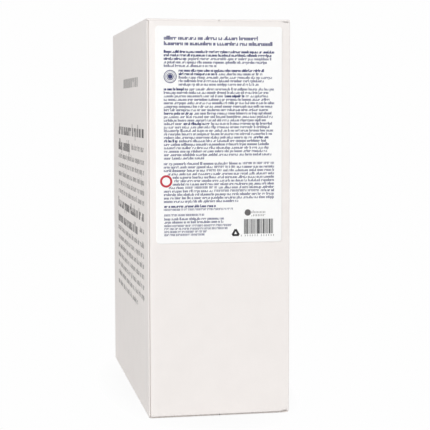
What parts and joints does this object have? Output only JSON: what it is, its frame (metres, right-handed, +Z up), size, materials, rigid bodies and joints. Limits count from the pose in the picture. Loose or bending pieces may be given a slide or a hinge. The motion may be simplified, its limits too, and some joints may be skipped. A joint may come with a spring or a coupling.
{
  "type": "soap refill carton",
  "caption": "Tall narrow sealed carton of liquid soap refill, with glued flaps, a paper label on one narrow side and a perforated tap opening on the other.",
  "frame": {"origin": "middle of the carton's bottom, on the surface it stands on", "axes": "+Z up; -Y out of the narrow side with the label; -X out of the broad side with the print; +Y out of the narrow side with the tap opening"},
  "size_m": [0.094, 0.2075, 0.26],
  "materials": {
    "white_board": "matt white corrugated board, faint fibre and flute lines",
    "label_paper": "smooth white label paper, slight sheen",
    "navy_ink": "flat dark blue print on the label",
    "grey_ink": "flat dark grey print on the board",
    "red_ink": "flat red print on the label",
    "black_ink": "flat black print on the label"
  },
  "bodies": {
    "root": {"carton": "white_board", "label": "label_paper"}
  },
  "joints": []
}
